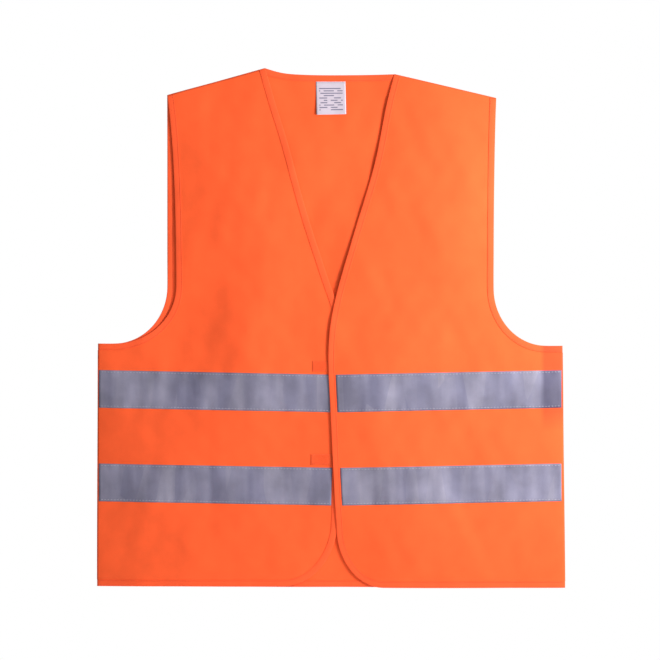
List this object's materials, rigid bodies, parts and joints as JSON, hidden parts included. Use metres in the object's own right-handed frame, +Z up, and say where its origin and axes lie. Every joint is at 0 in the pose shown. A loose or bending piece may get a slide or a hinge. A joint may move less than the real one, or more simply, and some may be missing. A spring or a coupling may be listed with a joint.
{
  "type": "high visibility vest",
  "caption": "Sleeveless high visibility vest hanging flat: bright cloth, reflective tapes round the body, bound edges and an overlapping front.",
  "frame": {"origin": "middle of the neck opening at the height of the right shoulder's neck point, mid-depth between back and front", "axes": "+X to the wearer's left, -Y out of the front, +Z up"},
  "size_m": [0.616, 0.0154, 0.684],
  "materials": {
    "panel_cloth": "matte fluorescent orange polyester knit",
    "binding": "folded orange polyester binding, stitched",
    "seam": "overlocked seam allowance",
    "reflective_tape": "silver-grey glass-bead reflective tape",
    "hook_loop": "orange hook and loop fastener",
    "label": "white satin label"
  },
  "bodies": {
    "shell": {"back_panel": "panel_cloth", "back_hem_binding": "binding", "back_neck_binding": "binding", "back_upper_tape": "reflective_tape", "back_lower_tape": "reflective_tape", "left_front_side": "panel_cloth", "left_neck_binding": "binding", "left_hem_binding": "binding", "left_upper_tape_side": "reflective_tape", "left_lower_tape_side": "reflective_tape", "left_shoulder_seam": "seam", "left_side_seam": "seam", "left_armhole_binding": "binding", "right_front_side": "panel_cloth", "right_neck_binding": "binding", "right_hem_binding": "binding", "right_upper_tape_side": "reflective_tape", "right_lower_tape_side": "reflective_tape", "right_shoulder_seam": "seam", "right_side_seam": "seam", "right_armhole_binding": "binding"},
    "left_flap": {"left_front_flap": "panel_cloth", "left_front_edge_binding": "binding", "left_upper_tape_flap": "reflective_tape", "left_lower_tape_flap": "reflective_tape", "upper_hook_patch": "hook_loop", "lower_hook_patch": "hook_loop"},
    "right_flap": {"right_front_flap": "panel_cloth", "right_front_edge_binding": "binding", "right_upper_tape_flap": "reflective_tape", "right_lower_tape_flap": "reflective_tape", "upper_loop_patch": "hook_loop", "lower_loop_patch": "hook_loop"},
    "label": {"care_label": "label"}
  },
  "joints": [
    {"name": "left_front_opens", "type": "hinge", "parent": "shell", "child": "left_flap", "pos_m": [0.084, -0.0095, -0.345], "axis": [0, 0, 1], "range_deg": [0, 170]},
    {"name": "right_front_opens", "type": "hinge", "parent": "shell", "child": "right_flap", "pos_m": [-0.0855, -0.0055, -0.34], "axis": [0, 0, -1], "range_deg": [0, 120]},
    {"name": "label_lifts", "type": "hinge", "parent": "shell", "child": "label", "pos_m": [0.0005, 0.00545, -0.0186], "axis": [-1, 0, 0], "range_deg": [0, 110]}
  ],
  "couplings": [
    {"joint": "right_front_opens", "follows": "left_front_opens", "ratio": 0.7}
  ]
}
